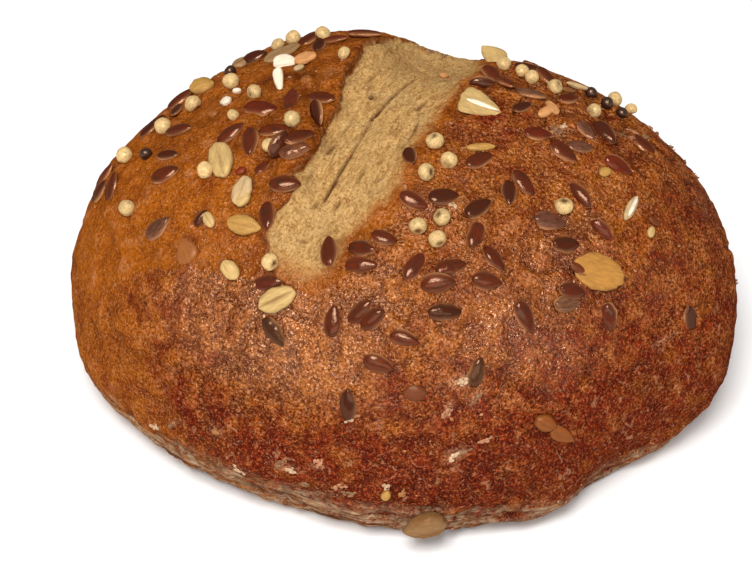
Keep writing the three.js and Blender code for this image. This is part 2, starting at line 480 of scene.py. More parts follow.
def darkened_crust(points, from_left, from_right, marked):
    """How dark the crust is with painted shade and some scorching: at its marks, at the tear's left lip, in
    the creases between the rim's layers and low down.
    """
    x, y, z = points.T / MM
    # painted shade under the tear's left lip, with some scorching
    at_lip = 0.6 * np.exp(-((from_left + 0.1) / 0.4) ** 2) * (np.minimum(from_right, 9) > 0)
    layers = smooth_step(0.2, 0.5, rim_streaks(points, 0.9, 36))
    # painted shade in the creases between the rim's layers
    creases = 0.9 * smooth_step(1.0, -1.0, above_flour(points)) * layers
    # painted shade low on the near right side
    underside = 0.16 * smooth_step(-4, 8, x) * smooth_step(24, 14, z) * (y < 0)
    return np.clip(np.maximum.reduce([at_lip, creases, marked, underside]), 0, 1)


def glossy_crust(points, beside):
    """How glossy the crust is, most of all on the upper slopes."""
    x, y, z = points.T / MM
    glossy = smooth_step(20, 29, z) * smooth_step(-38, -25, x) * (1 - 0.6 * smooth_step(20, 34, x))
    glossy *= (0.75 + 0.6 * smooth_noise(points, 9 * MM, 35)) * (1 - 0.5 * smooth_step(34, 41, z))
    glossy *= 1 - 0.35 * spot(x - 4, y + 25, 9, 7) + 0.9 * spot(x + 25, y + 22, 10, 8)
    return np.clip(glossy * (1 - 0.6 * beside), 0.15, 1.6)


def floury_crust(points):
    """How floury the band above the base is, in streaks."""
    streaks = 1.5 * rim_streaks(points, 0.8, 34) + 0.5 * smooth_noise(points, 2.0 * MM, 37)
    return np.clip(smooth_step(2.0, -2.0, above_flour(points)) * (0.85 + streaks), 0, 1)


def tint_crust(mesh, marked):
    """Stores where the crust is torn, browned and shaded, dark with painted shade and scorching, pale, floury
    and so on.
    """
    points = read_points(mesh)
    x, _, z = points.T / MM
    from_left, from_right = tear_depths(points)
    along, _ = tear_place(points)
    soft = 0.5 + 1.4 * smooth_step(5, 0, along)  # the near end fades into the crust
    torn = smooth_step(-0.3, 0.7, from_left / soft) * smooth_step(-0.6, 2.6, from_right)
    torn *= smooth_step(-2.2, 2.4, along)
    beside = spot(np.minimum(from_right + 0.3, 0), 0, 2.4, 1) * (along > -2)  # the tear's right edge
    grainy = (0.5 + 0.5 * smooth_step(-42, -24, x)) * (1 - 0.6 * beside) * (1 - 0.12 * smooth_step(26, 36, z))
    set_attribute(mesh, "torn", torn)
    set_attribute(mesh, "grainy", grainy)
    set_attribute(mesh, "browned_and_shaded", browned_and_shaded_crust(points, beside))
    set_attribute(mesh, "dark", darkened_crust(points, from_left, from_right, marked))
    set_attribute(mesh, "pale", np.clip(-marked, 0, 1))
    set_attribute(mesh, "flaky", 0.10 + 0.35 * smooth_step(26, 16, z) * smooth_step(-40, -28, x))
    set_attribute(mesh, "floury", floury_crust(points))
    set_attribute(mesh, "glossy", glossy_crust(points, beside) * (1 - torn))


# ---- finding places on the crust

class Ground:
    """The crust as something to put seeds on."""

    def __init__(self, mesh):
        faces = [tuple(face.vertices) for face in mesh.polygons]
        self.tree = BVHTree.FromPolygons([vertex.co for vertex in mesh.vertices], faces)

    def smooth_normal(self, place, radius=1.0 * MM):
        """The crust's direction round a place, without its finest relief."""
        total = Vector()
        for _, normal, _, _ in self.tree.find_nearest_range(place, radius):
            total += normal
        return total.normalized() if total.length > 0 else self.tree.find_nearest(place)[1]

    def on_line(self, start, line):
        """Where a line first meets the crust, or the crust's nearest point where it misses."""
        place = self.tree.ray_cast(start, line)[0]
        if place is None:
            steps = np.linspace(CAMERA_DISTANCE - 70 * MM, CAMERA_DISTANCE + 70 * MM, 141)
            tries = [self.tree.find_nearest(start + line * step) for step in steps]
            place = min(tries, key=lambda found: found[3])[0]
        return place

    def under_pixel(self, px, py, height=0.0):
        """The crust under a thing that shows at a pixel with its middle a height above the crust."""
        line = sight_line(px, py)
        place = self.on_line(CAMERA_PLACE, line)
        normal = self.smooth_normal(place)
        for _ in range(3 if height else 0):
            place = self.on_line(CAMERA_PLACE - normal * height, line)
            normal = self.smooth_normal(place)
        return place, normal

    def hides(self, place, stand):
        """Whether a seed at a place, which stands out by stand, would be out of the camera's sight."""
        normal = self.smooth_normal(place)
        to_camera = (CAMERA_PLACE - place).normalized()
        if normal.dot(to_camera) > -0.03:
            return False
        return self.tree.ray_cast(place + stand * normal, to_camera)[0] is not None


HIDDEN_LOWEST, HIDDEN_THINNING = 8 * MM, 23 * MM  # fewer and fewer lie lower down
HIDDEN_SPACING = 3.3 * MM
HIDDEN_FROM_TEAR = 0.8  # in mm
HIDDEN_FLAX, FLAX_STAND = 44, 0.7 * MM
HIDDEN_MILLET, MILLET_STAND = 15, 1.8 * MM
HIDDEN_FLAKES, FLAKE_STAND = 9, 0.8 * MM


def scatter_places(ground, rng, count, stand, taken):
    """Places on the side of the crown that the photograph doesn't show, for seeds that stand out by stand."""
    places = []
    low, high = cad_box
    for _ in range(count * 200):
        if len(places) == count:
            break
        start = Vector((rng.uniform(low[0], high[0]), rng.uniform(low[1], high[1]), 1))
        place = ground.tree.ray_cast(start, -UP)[0]
        if place is None or place.z < HIDDEN_LOWEST + rng.uniform(0, HIDDEN_THINNING):
            continue
        if not ground.hides(place, stand):
            continue
        from_left, from_right = tear_depths(np.array([place]))
        if min(from_left[0], from_right[0]) > -HIDDEN_FROM_TEAR:
            continue
        if all((place - other).length > HIDDEN_SPACING for other in taken + places):
            places.append(place)
    return places


def any_heading(rng, normal):
    return flattened(Vector(rng.normal(size=3)), normal)


# ---- grains

Grain = namedtuple("Grain", "points faces edge")


def shell_faces(rings, sides):
    """The faces of a closed grain whose points run from one tip, ring after ring, to the other."""
    last = (rings - 1) * sides + 1
    faces = []
    for side in range(sides):
        after = (side + 1) % sides
        faces.append((0, 1 + after, 1 + side))
        faces.append((last, last - sides + side, last - sides + after))
        for ring in range(rings - 2):
            start = 1 + ring * sides
            faces.append((start + side, start + after, start + sides + after, start + sides + side))
    return faces


GRAIN_RINGS, GRAIN_SIDES = 16, 24


def grain_body(length, width, thickness, blunt=0.5, sharp=0.75, crispness=1.7, groove=0.0, cup=0.0):
    """A closed, flattened grain with its tip along +X. edge is 1 at its rim and in its groove, else 0."""
    peak = blunt / (blunt + sharp)
    top = peak ** blunt * (1 - peak) ** sharp
    points, edge = [(-0.5 * length, 0, 0)], [1.0]
    for ring in range(1, GRAIN_RINGS):
        share = 0.5 - 0.5 * math.cos(math.pi * ring / GRAIN_RINGS)
        reach = share ** blunt * (1 - share) ** sharp / top
        for side in range(GRAIN_SIDES):
            angle = 2 * math.pi * side / GRAIN_SIDES
            across = math.cos(angle)
            rise = math.copysign(abs(math.sin(angle)) ** crispness, math.sin(angle))
            y = 0.5 * width * reach * across
            z = 0.5 * thickness * reach ** 0.6 * rise
            in_groove = math.exp(-(across / 0.14) ** 2) * (rise > 0) * (groove > 0)
            z += cup * (y / width) ** 2 - groove * in_groove * reach
            points.append(((share - 0.5) * length, y, z))
            edge.append(max(abs(across) ** 8, in_groove * reach))
    points.append((0.5 * length, 0, 0))
    edge.append(1.0)
    return Grain(np.array(points), shell_faces(GRAIN_RINGS, GRAIN_SIDES), np.array(edge))


EYE_WIDTH = 0.60  # the eye's radius as an angle at the grain's centre
EYE_DEPTH = 0.22  # as a share of the grain's radius


def ball_body(size, rings=14, sides=22):
    """A ball with its eye, a small dented spot, at +Z. edge is 1 in the eye."""
    points, edge = [], []
    for ring in range(rings + 1):
        angle = math.pi * ring / rings
        in_eye = math.exp(-(angle / EYE_WIDTH) ** 4)
        radius = 0.5 * size * (1 - EYE_DEPTH * in_eye) * (1 - 0.06 * math.cos(2 * angle))
        for side in range(1 if ring in (0, rings) else sides):
            turn = 2 * math.pi * side / sides
            off_axis = radius * math.sin(angle)
            points.append((off_axis * math.cos(turn), off_axis * math.sin(turn), radius * math.cos(angle)))
            edge.append(in_eye)
    faces = [face[:1] + face[:0:-1] for face in shell_faces(rings, sides)]  # the rings turn the other way
    return Grain(np.array(points), faces, np.array(edge))


class Heap:
    """Many grains joined into one mesh piece."""

    def __init__(self):
        self.points, self.faces, self.edge, self.coat, self.own = [], [], [], [], []
        self.count = 0

    def add(self, grain, place, forward, outward, coat, size=1.0, wrinkle=0.0, seed=0):
        sideways = outward.cross(forward).normalized()
        turn = np.array([forward, sideways, outward.normalized()])
        local = grain.points * size
        if wrinkle:
            local = local * (1 + wrinkle * smooth_noise(grain.points, 0.9 * MM, seed))[:, None]
        self.points.append(local @ turn + np.array(place))
        self.faces += [tuple(index + self.count for index in face) for face in grain.faces]
        self.edge.append(grain.edge)
        self.own.append(local + seed * 10 * MM)
        self.coat.append(np.tile(np.append(coat, 1.0), (len(local), 1)))
        self.count += len(local)

    def piece(self, name, slot, material):
        mesh = bpy.data.meshes.new(name)
        mesh.from_pydata(np.concatenate(self.points), [], self.faces)
        set_attribute(mesh, "edge", np.concatenate(self.edge))
        set_attribute(mesh, "coat", np.concatenate(self.coat), "FLOAT_COLOR", "color")
        set_attribute(mesh, "own", np.concatenate(self.own), "FLOAT_VECTOR", "vector")
        mesh.shade_smooth()
        mesh.materials.append(material)
        piece = add_object(name, mesh)
        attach(piece, "root")


def linear(red, green, blue):
    """A colour given as 0 to 255 on a screen, as the renderer counts it."""
    shares = np.array([red, green, blue]) / 255
    return np.where(shares <= 0.04045, shares / 12.92, ((shares + 0.055) / 1.055) ** 2.4)


def coats(**shades):
    return {name: linear(*shade) for name, shade in shades.items()}


# ---- flax seeds

FLAX_LENGTH, FLAX_WIDTH, FLAX_THICKNESS = 4.5 * MM, 2.5 * MM, 1.25 * MM
FLAX_COATS = coats(
    brown=(93, 31, 9), dark=(68, 20, 6), red=(98, 26, 8), purple=(94, 32, 16), grey=(118, 76, 52),
    lilac=(110, 66, 48), olive=(74, 38, 18), netted=(108, 58, 34), slate=(96, 54, 40))
FLAX_BODIES = 6  # differing a little in shape
DEEPLY_SUNK = 0.45  # from here on a seed is wrinkled
WRINKLED_COATS = ("grey", "netted", "slate")

# One flax seed: its pixel, turn in the picture, coat and size, how deep it is sunk and how far it is rolled
Flax = namedtuple("Flax", "x y turn coat size sunk roll", defaults=("brown", 1, 0.42, 0))
FLAX_SEEDS = [Flax(*row) for row in (
    # along the far horizon
    (365, 34, 0, "brown", 1.05, 0.1), (334, 40, 0, "red"), (309, 39, 40), (319, 45, 70, "dark", 0.8),
    (255, 57, 20, "dark", 0.85, 0.15, 40), (181, 99, 35), (153, 126, 40, "dark"), (105, 176, 55),
    (101, 190, 60, "dark"), (112, 187, 70), (528, 68, -15, "dark", 0.9), (547, 78, -50),
    (484, 84, -5, "dark", 0.9, 0.2, 60), (538, 134, 0, "red"), (605, 133, -45, "dark", 1, 0.2, 50),
    (618, 166, -30, "red", 1, 0.4, 35), (645, 147, -40, "brown", 1, 0.5),
    # left of the tear
    (177, 110, 80, "dark", 0.8), (179, 130, 12), (168, 155, 0, "dark", 0.8), (165, 174, 25),
    (158, 228, 40, "lilac"), (201, 218, 55, "dark", 0.6, 0.3, 30), (231, 133, 35), (250, 142, -90),
    (274, 130, 8), (279, 144, 60, "dark", 1, 0.2, 60), (298, 137, 20, "brown", 1.05, 0.55),
    (295, 150, 12, "netted", 1, 0.55), (262, 109, -5, "red", 1.2, 0.5), (291, 101, 80, "purple"),
    (322, 98, -12), (317, 113, -75, "dark", 1, 0.2, 40), (263, 167, 40, "brown", 0.6), (285, 184, 0),
    (267, 216, -85),
    # at the tear's near end
    (329, 251, 90), (362, 248, -5, "brown", 1, 0.5), (384, 238, -20, "brown", 0.85),
    (362, 265, 0, "brown", 1, 0.5), (268, 283, 8, "purple"), (274, 332, -55, "olive", 1, 0.45),
    # the near slope
    (333, 320, 85), (360, 312, 45), (372, 319, 40), (379, 364, -20), (348, 404, 90, "dark"),
    (404, 338, -15, "brown", 0.9, 0.5), (415, 265, 55, "purple"), (451, 267, 15, "brown", 1, 0.5),
    (438, 283, 8, "brown", 1.1), (487, 281, -10), (494, 259, -50, "brown", 0.9, 0.55),
    (445, 312, 0, "dark", 1, 0.45), (525, 317, -65, "purple"), (572, 291, -15, "purple"),
    (567, 304, 0, "grey", 1, 0.5), (609, 317, -75, "purple", 0.95, 0.45, 30),
    (477, 372, 75, "olive", 0.95, 0.45),
    # right of the tear
    (567, 245, -5, "dark", 1, 0.5), (410, 156, -65, "dark", 0.8), (414, 201, -25),
    (443, 197, 5, "dark", 1.05), (478, 208, 30, "dark"), (479, 160, 25), (524, 184, -50, "purple", 1, 0.5),
    (509, 193, -90, "dark", 0.85), (550, 221, -10, "slate", 1.1), (476, 234, 70, "brown", 0.95, 0.5),
    (564, 152, -35), (580, 147, -8, "lilac", 0.9), (586, 131, -55, "lilac", 0.9),
    (580, 196, -50, "brown", 0.95, 0.42, 40), (603, 231, -45, "red", 0.92, 0.45, 35), (492, 74, -50),
    (505, 83, -50), (531, 94, -15, "grey", 1.05), (568, 99, 10, "red", 0.9), (522, 107, 20, "dark", 0.7),
    (690, 318, -70, "dark", 1, 0.5),
)]


def build_flax(ground, hidden, material):
    rng = np.random.default_rng(5)
    heap = Heap()
    grains = []
    for _ in range(FLAX_BODIES):
        length, width = FLAX_LENGTH * rng.uniform(0.94, 1.06), FLAX_WIDTH * rng.uniform(0.92, 1.06)
        thickness, sharp = FLAX_THICKNESS * rng.uniform(0.85, 1.1), rng.uniform(0.66, 0.8)
        grains.append(grain_body(length, width, thickness, sharp=sharp, crispness=1.3))

    def put(place, normal, direction, coat, size, sunk, roll, seed):
        tilt = rng.normal(0, 0.07)
        outward = (normal + tilt * direction).normalized()
        direction = flattened(direction, outward)
        outward = Matrix.Rotation(math.radians(roll), 3, direction) @ outward
        middle = place + normal * (0.5 - sunk) * FLAX_THICKNESS * size
        shade = FLAX_COATS[coat] * rng.uniform(0.85, 1.15)
        wrinkle = 0.14 if sunk >= DEEPLY_SUNK or coat in WRINKLED_COATS else 0.05
        heap.add(grains[seed % FLAX_BODIES], middle, direction, outward, shade, size, wrinkle, seed)

    for index, seed in enumerate(FLAX_SEEDS):
        place, normal = ground.under_pixel(seed.x, seed.y, (0.5 - seed.sunk) * FLAX_THICKNESS * seed.size)
        direction = along_crust(normal, seed.turn)
        put(place, normal, direction, seed.coat, seed.size, seed.sunk, seed.roll, index)
    spread = ["brown"] * 6 + ["dark"] * 3 + ["purple", "red", "grey"]
    for index, place in enumerate(hidden):
        normal = ground.smooth_normal(place)
        direction = any_heading(rng, normal)
        coat, size = spread[rng.integers(len(spread))], rng.uniform(0.9, 1.08)
        put(place, normal, direction, coat, size, rng.choice([0.4, 0.45, 0.5]), 0, 200 + index)
    heap.piece("flax_seeds", "flax_seed", material)


# ---- millet and dark seeds

MILLET_SIZE = 2.25 * MM
MILLET_RISE = 0.30  # of a grain's middle over the crust, as a share of its size
MILLET_COAT = linear(224, 188, 128)
DARK_SEED_SIZE = 1.7 * MM
DARK_COAT = linear(40, 26, 22)

# One millet grain: its pixel, the bearing in the picture of its dark eye, or None where the eye is turned
# away, and its size
Millet = namedtuple("Millet", "x y eye size", defaults=(None, 1))
MILLET_GRAINS = [Millet(*row) for row in (
    (124, 155), (127, 208), (163, 126), (193, 104), (231, 81), (254, 92, 200, 0.92), (233, 115, None, 0.7),
    (205, 170), (269, 145, None, 0.85), (292, 119, None, 0.95), (344, 53, None, 0.85), (293, 38), (323, 34),
    (278, 45, None, 0.85), (270, 262, -20), (435, 141, 110), (449, 160, -110), (426, 172, 0),
    (442, 217, 150), (418, 226, -90), (437, 239, -60), (564, 206, 90), (504, 64, None, 0.85),
    (522, 71, None, 0.8), (532, 77, None, 0.9), (555, 87, 20, 0.92), (594, 111, 200, 0.85),
    (615, 99, None, 0.9), (631, 109, None, 0.8),
)]
DARK_SEEDS = [(607, 103), (622, 113), (591, 93), (230, 71), (146, 154)]  # the pixels


def build_millet(ground, hidden, material):
    rng = np.random.default_rng(6)
    heap = Heap()
    body = ball_body(MILLET_SIZE)

    def put(place, normal, pole, size, seed):
        middle = place + normal * MILLET_RISE * MILLET_SIZE * size
        shade = MILLET_COAT * rng.uniform(0.88, 1.08)
        heap.add(body, middle, pole.orthogonal().normalized(), pole, shade, size, 0.08, seed)

    for index, grain in enumerate(MILLET_GRAINS):
        place, normal = ground.under_pixel(grain.x, grain.y, MILLET_RISE * MILLET_SIZE * grain.size)
        if grain.eye is None:
            pole = -normal + 0.5 * Vector(rng.normal(size=3))
        else:
            angle = math.radians(grain.eye)
            pole = 0.8 * (math.cos(angle) * VIEW_RIGHT + math.sin(angle) * VIEW_UP) + 0.6 * TO_CAMERA
        put(place, normal, pole.normalized(), grain.size * rng.uniform(0.95, 1.06), index)
    for index, place in enumerate(hidden):
        pole = Vector(rng.normal(size=3)).normalized()
        put(place, ground.smooth_normal(place), pole, rng.uniform(0.9, 1.05), 100 + index)
    heap.piece("millet", "millet_seed", material)


def build_dark_seeds(ground, material):
    rng = np.random.default_rng(7)
    heap = Heap()
    body = ball_body(DARK_SEED_SIZE, 10, 16)
    rise = MILLET_RISE * DARK_SEED_SIZE
    for index, (px, py) in enumerate(DARK_SEEDS):
        place, normal = ground.under_pixel(px, py, rise)
        pole = Vector(rng.normal(size=3)).normalized()
        forward = pole.orthogonal().normalized()
        heap.add(body, place + normal * rise, forward, pole, DARK_COAT, wrinkle=0.04, seed=index)
    heap.piece("dark_seeds", "dark_seed", material)


# ---- flakes and kernels

FLAKE_COATS = coats(
    straw=(206, 170, 108), honey=(188, 141, 72), gold=(186, 130, 60), cream=(204, 172, 124),
    white=(252, 234, 206), peach=(222, 156, 98), tan=(154, 91, 43), grey=(134, 87, 50), ash=(158, 122, 82),
    kernel=(144, 108, 69), amber=(138, 72, 28), brown=(106, 48, 24), red=(124, 34, 14))

# One flake or kernel: its pixel, size in mm, turn in the picture, coat, thickness in mm, groove, cup, how
# deep it is sunk, how pointed its far end is, how far it leans from lying on the crust to facing the camera,
# and how pointed its near end is
Flake = namedtuple("Flake", "x y length width turn coat thickness groove cup sunk point lean blunt",
                   defaults=(0.9, 0, 0, 0.25, 0.55, 0, 0.5))
FLAKES = [
    Flake(221, 160, 6, 3.7, -75, "straw", 1.4, groove=0.45),
    Flake(242, 190, 4.4, 2.8, 70, "cream", 1.1, groove=0.25), Flake(243, 199, 2.6, 2, 50, "straw", 1.2),
    Flake(247, 186, 2.6, 0.9, 75, "white", 0.5, sunk=-0.5),
    Flake(244, 225, 4.9, 2.9, -10, "honey", 1, groove=0.25, point=0.7),
    Flake(230, 270, 3.2, 2.3, -50, "straw", 1.1), Flake(277, 299, 5.6, 3.3, 25, "straw", 1.4, groove=0.45),
    Flake(202, 86, 3.6, 3, 15, "honey", 1.6, point=0.6, lean=0.4), Flake(305, 58, 3.4, 3, 20, "peach"),
    Flake(282, 53, 5.8, 2.6, 22, "ash", groove=0.2, point=0.6, lean=0.3),
    Flake(241, 63, 2.8, 2, 25, "ash", 1.2, groove=0.2, sunk=0.3, point=0.6, lean=0.4),
    Flake(546, 112, 3.6, 1.6, 35, "peach", 1), Flake(552, 108, 3, 2, -60, "peach", 0.7, cup=0.6),
    Flake(599, 272, 7.8, 5.2, -15, "gold", 1, cup=0.3),
    Flake(577, 268, 2.4, 1.3, -30, "brown", 0.8, sunk=-0.1),
    Flake(582, 274, 2, 0.8, -20, "grey", 0.6, sunk=-0.4),
    Flake(482, 106, 6.4, 5, -22, "straw", 0.8, cup=0.4, sunk=0.1, point=0.9, lean=0.15, blunt=0.2),
    Flake(483, 105, 4.8, 0.9, -20, "white", 0.5, sunk=-0.9, point=0.9, lean=0.15),
    Flake(493, 55, 4.6, 3.4, 150, "straw", 0.8, cup=0.4, sunk=-0.6, point=0.9, lean=0.6),
    Flake(481, 147, 3.9, 1.3, 3, "honey"), Flake(577, 86, 3.4, 1.2, -15, "cream", 0.8),
    Flake(568, 90, 2.6, 1, -10, "grey", 0.7), Flake(631, 208, 4.6, 1.5, 60, "cream", 0.7),
    Flake(633, 206, 3.8, 0.7, 63, "white", 0.6, sunk=-0.3),
    Flake(285, 62, 3.4, 2.6, 10, "white", cup=0.3, point=0.5, lean=0.5, blunt=0.35),
    Flake(299, 68, 1.7, 1.2, 30, "cream"), Flake(237, 91, 1.3, 1.1, 0, "white"),
    Flake(226, 101, 2, 1.8, 80, "white"),
    Flake(279, 83, 4.4, 1.5, -87, "white", 0.8, sunk=0, point=1, lean=0.65, blunt=0.3),
    Flake(213, 114, 1.6, 1.3, 0, "tan"), Flake(186, 250, 4.4, 3.6, 110, "tan", 1.4, sunk=0.58, point=1.1),
    Flake(209, 220, 2.4, 1.7, -60, "straw", 1, groove=0.2), Flake(241, 171, 1.6, 1.1, 30, "red", 0.8),
    Flake(605, 172, 1.9, 1.5, 20, "honey"),
    Flake(545, 423, 3.4, 2.4, -20, "amber", 1.6, groove=0.2, sunk=0.3),
    Flake(562, 435, 4.6, 2.3, -28, "amber", 1.2, groove=0.3, sunk=0.3, point=0.9),
    Flake(444, 76, 1.4, 1.4, 0, "peach"), Flake(651, 232, 1.7, 1.2, 70, "straw", 0.8),
    Flake(654, 221, 2, 1.2, -30, "brown", 0.8, sunk=0.1),
    Flake(415, 393, 3.2, 2.4, 0, "brown", 1, sunk=0.55),
    Flake(424, 526, 6, 4.8, 14, "kernel", 3.2, groove=0.12, sunk=0.12, point=0.5, blunt=0.8),
    Flake(386, 495, 1.8, 1.4, 70, "honey", 1.2),
]


def build_flakes(ground, hidden, material):
    rng = np.random.default_rng(8)
    heap = Heap()

    def put(place, normal, direction, flake, seed):
        length, width, thickness = flake.length * MM, flake.width * MM, flake.thickness * MM
        groove, cup = flake.groove * MM, flake.cup * MM
        body = grain_body(length, width, thickness, flake.blunt, flake.point, 0.9, groove, cup)
        middle = place + normal * (0.5 - flake.sunk) * thickness
        outward = normal.lerp(TO_CAMERA, flake.lean).normalized()
        shade = FLAKE_COATS[flake.coat]
        heap.add(body, middle, flattened(direction, outward), outward, shade, wrinkle=0.10, seed=seed)

    for index, flake in enumerate(FLAKES):
        place, normal = ground.under_pixel(flake.x, flake.y, (0.5 - flake.sunk) * flake.thickness * MM)
        put(place, normal, along_crust(normal, flake.turn), flake, index)
    spread = ["straw", "honey", "cream", "white", "gold"]
    for index, place in enumerate(hidden):
        normal = ground.smooth_normal(place)
        direction = any_heading(rng, normal)
        length = rng.uniform(2.2, 6.2)
        width = length * rng.uniform(0.5, 0.8)
        flake = Flake(0, 0, length, width, 0, spread[index % len(spread)], 1.0, groove=0.2)
        put(place, normal, direction, flake, 100 + index)
    heap.piece("grain_flakes", "grain_flake", material)


# ---- crumbs and flour

CRUMB_COATS = coats(pink=(196, 136, 100), white=(216, 180, 142), ash=(150, 110, 80), tan=(182, 122, 70))

# One crumb, a cluster of grains: its pixel, length and width in mm, turn in the picture and coat, and how far
# its grains stand up from the crust
Crumb = namedtuple("Crumb", "x y length width turn coat upright", defaults=(0,))
CRUMBS = [Crumb(*row) for row in (
    (676, 144, 1.2, 0.8, -40, "ash", 1), (698, 175, 1.2, 0.7, -60, "ash", 1),
    (688, 160, 0.9, 0.6, 20, "ash", 1), (736, 283, 0.8, 0.6, 80, "ash", 1),
    (661, 131, 0.9, 0.6, 0, "ash", 1), (650, 127, 1, 0.7, 10, "pink", 0.6),
    (632, 131, 1.6, 0.8, -20, "pink"), (622, 135, 1.2, 0.8, 10, "ash"), (645, 137, 1.4, 0.8, -10, "ash"),
    (558, 131, 2.4, 1.4, 10, "ash"), (562, 126, 1.4, 0.9, 40, "white"), (431, 52, 1.5, 1.2, 20, "ash", 0.8),
    (443, 55, 1.5, 1, -10, "ash", 0.8), (423, 50, 1.2, 0.8, 30, "tan", 0.4),
    (560, 203, 0.9, 0.5, 60, "pink"), (452, 205, 1, 0.6, -50, "white"), (461, 382, 1.9, 0.9, 10, "white"),
    (466, 379, 1.2, 0.7, 40, "ash"), (448, 411, 1.9, 0.9, 60, "pink"), (478, 396, 1.8, 0.8, 50, "ash"),
    (455, 456, 2.2, 1.1, 30, "white"), (462, 452, 1.2, 0.8, 30, "ash"), (486, 440, 1.6, 0.7, 25, "pink"),
    (155, 428, 1.5, 0.9, 10, "white"), (170, 425, 1.4, 0.7, 60, "ash"), (215, 432, 1.5, 1, 0, "tan"),
    (238, 470, 1.8, 1, -20, "white"), (280, 463, 1.7, 0.8, 50, "ash"), (290, 470, 1.9, 1, -15, "white"),
    (318, 465, 1.5, 1, 70, "pink"), (348, 418, 1.3, 0.8, 20, "white"), (354, 414, 0.9, 0.6, 0, "pink"),
    (340, 486, 2.4, 0.9, 15, "pink"), (350, 494, 2, 0.9, 0, "ash"), (305, 484, 1.6, 0.8, -20, "ash"),
    (385, 488, 1.2, 0.9, 70, "white"), (403, 492, 1.4, 0.9, 60, "tan"),
)]
LOOSE_CRUMBS = 170  # tiny ones, all over the crown
RIM_CRUMBS = 130  # in the floury band above the base
SMALLEST_CRUMB, LARGEST_CRUMB = 0.25 * MM, 0.65 * MM


class CrumbHeap(Heap):
    """Small uneven lumps, lying on the crust or standing up from it."""

    def __init__(self, rng):
        super().__init__()
        self.rng = rng
        self.body = ball_body(1.0, 6, 8)

    def put(self, place, outward, forward, length, width, coat, seed):
        shape = self.body.points * (length, width, 0.5 * width)
        uneven = 1 + 0.35 * smooth_noise(shape, 0.45 * width, seed)
        lump = Grain(shape * uneven[:, None], self.body.faces, 0 * self.body.edge)
        shade = CRUMB_COATS[coat] * self.rng.uniform(0.75, 1.1)
        self.add(lump, place + outward * 0.16 * width, forward, outward, shade, seed=seed)

    def cluster(self, ground, crumb, seed):
        middle, normal = ground.under_pixel(crumb.x, crumb.y)
        direction = along_crust(normal, crumb.turn)
        sideways = normal.cross(direction)
        for grain in range(5 + round(4 * crumb.length * crumb.width)):
            along, across = self.rng.normal(0, 0.27, 2).tolist()
            offset = along * crumb.length * direction + across * crumb.width * sideways
            place = ground.tree.find_nearest(middle + offset * MM)[0]
            level = flattened(Vector(self.rng.normal(size=3)) + 3 * direction, normal)
            forward = (level + 2 * crumb.upright * normal).normalized()
            outward = flattened(sideways.cross(forward) if crumb.upright > 0.5 else normal, forward)
            length = self.rng.uniform(0.35, 0.8) * MM
            width = length * self.rng.uniform(0.4, 0.8)
            self.put(place, outward, forward, length, width, crumb.coat, seed + grain)

    def strew(self, ground, lowest, highest, coat, seed):
        """One tiny crumb somewhere between two angles above the floor."""
        bearing, rise = self.rng.uniform(0, 2 * math.pi), math.radians(self.rng.uniform(lowest, highest))
        level = math.cos(rise)
        away = Vector((math.cos(bearing) * level, math.sin(bearing) * level, math.sin(rise)))
        place = ground.tree.ray_cast(away * 0.1 + UP * 2 * MM, -away)[0]
        normal = ground.smooth_normal(place)
        forward = any_heading(self.rng, normal)
        length = self.rng.uniform(SMALLEST_CRUMB, LARGEST_CRUMB)
        self.put(place, normal, forward, length, length * self.rng.uniform(0.5, 0.9), coat, seed)


def build_crumbs(ground, material):
    heap = CrumbHeap(np.random.default_rng(9))
    for index, crumb in enumerate(CRUMBS):
        heap.cluster(ground, crumb, 20 * index)
    for index in range(LOOSE_CRUMBS + RIM_CRUMBS):
        lowest, highest = (25, 85) if index < LOOSE_CRUMBS else (1, 7)
        heap.strew(ground, lowest, highest, ["pink", "tan"][index % 2], 100 + index)
    heap.piece("crumbs", "flour", material)


# ---- materials

